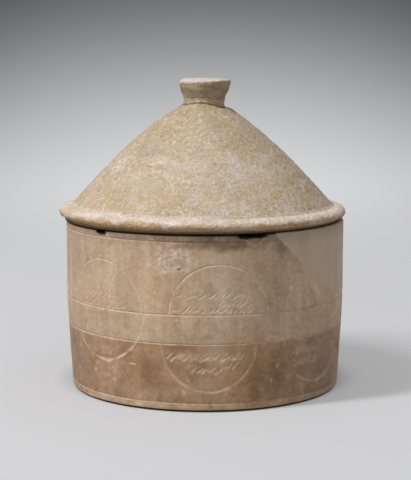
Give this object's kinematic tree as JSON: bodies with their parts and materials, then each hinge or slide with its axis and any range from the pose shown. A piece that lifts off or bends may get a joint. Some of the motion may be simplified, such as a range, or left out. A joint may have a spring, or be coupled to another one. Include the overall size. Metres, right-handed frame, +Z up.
{
  "type": "lidded stone box",
  "caption": "Straight-sided carved stone bowl with turned rings, compass-drawn medallions and a repaired wall, closed by a lift-off conical lid with a rolled rim and flared knob.",
  "frame": {"origin": "centre of the bowl's flat base", "axes": "+Z up along the bowl's axis, -Y towards the viewer of the picture, +X to that viewer's right"},
  "size_m": [0.1547, 0.1546, 0.1648],
  "materials": {
    "polished_stone": "rubbed smooth, mottled beige and brown, incised lines",
    "repair_fill": "smooth matt beige-grey fill",
    "grainy_stone": "sugary, finely pitted, with faint turning lines"
  },
  "bodies": {
    "bowl": {"bowl": "polished_stone", "wall_fill": "repair_fill"},
    "lid": {"lid": "grainy_stone"}
  },
  "joints": [
    {"name": "lid_lift", "type": "slide", "parent": "bowl", "child": "lid", "axis": [0, 0, 1], "range_m": [0, 0.15]}
  ]
}
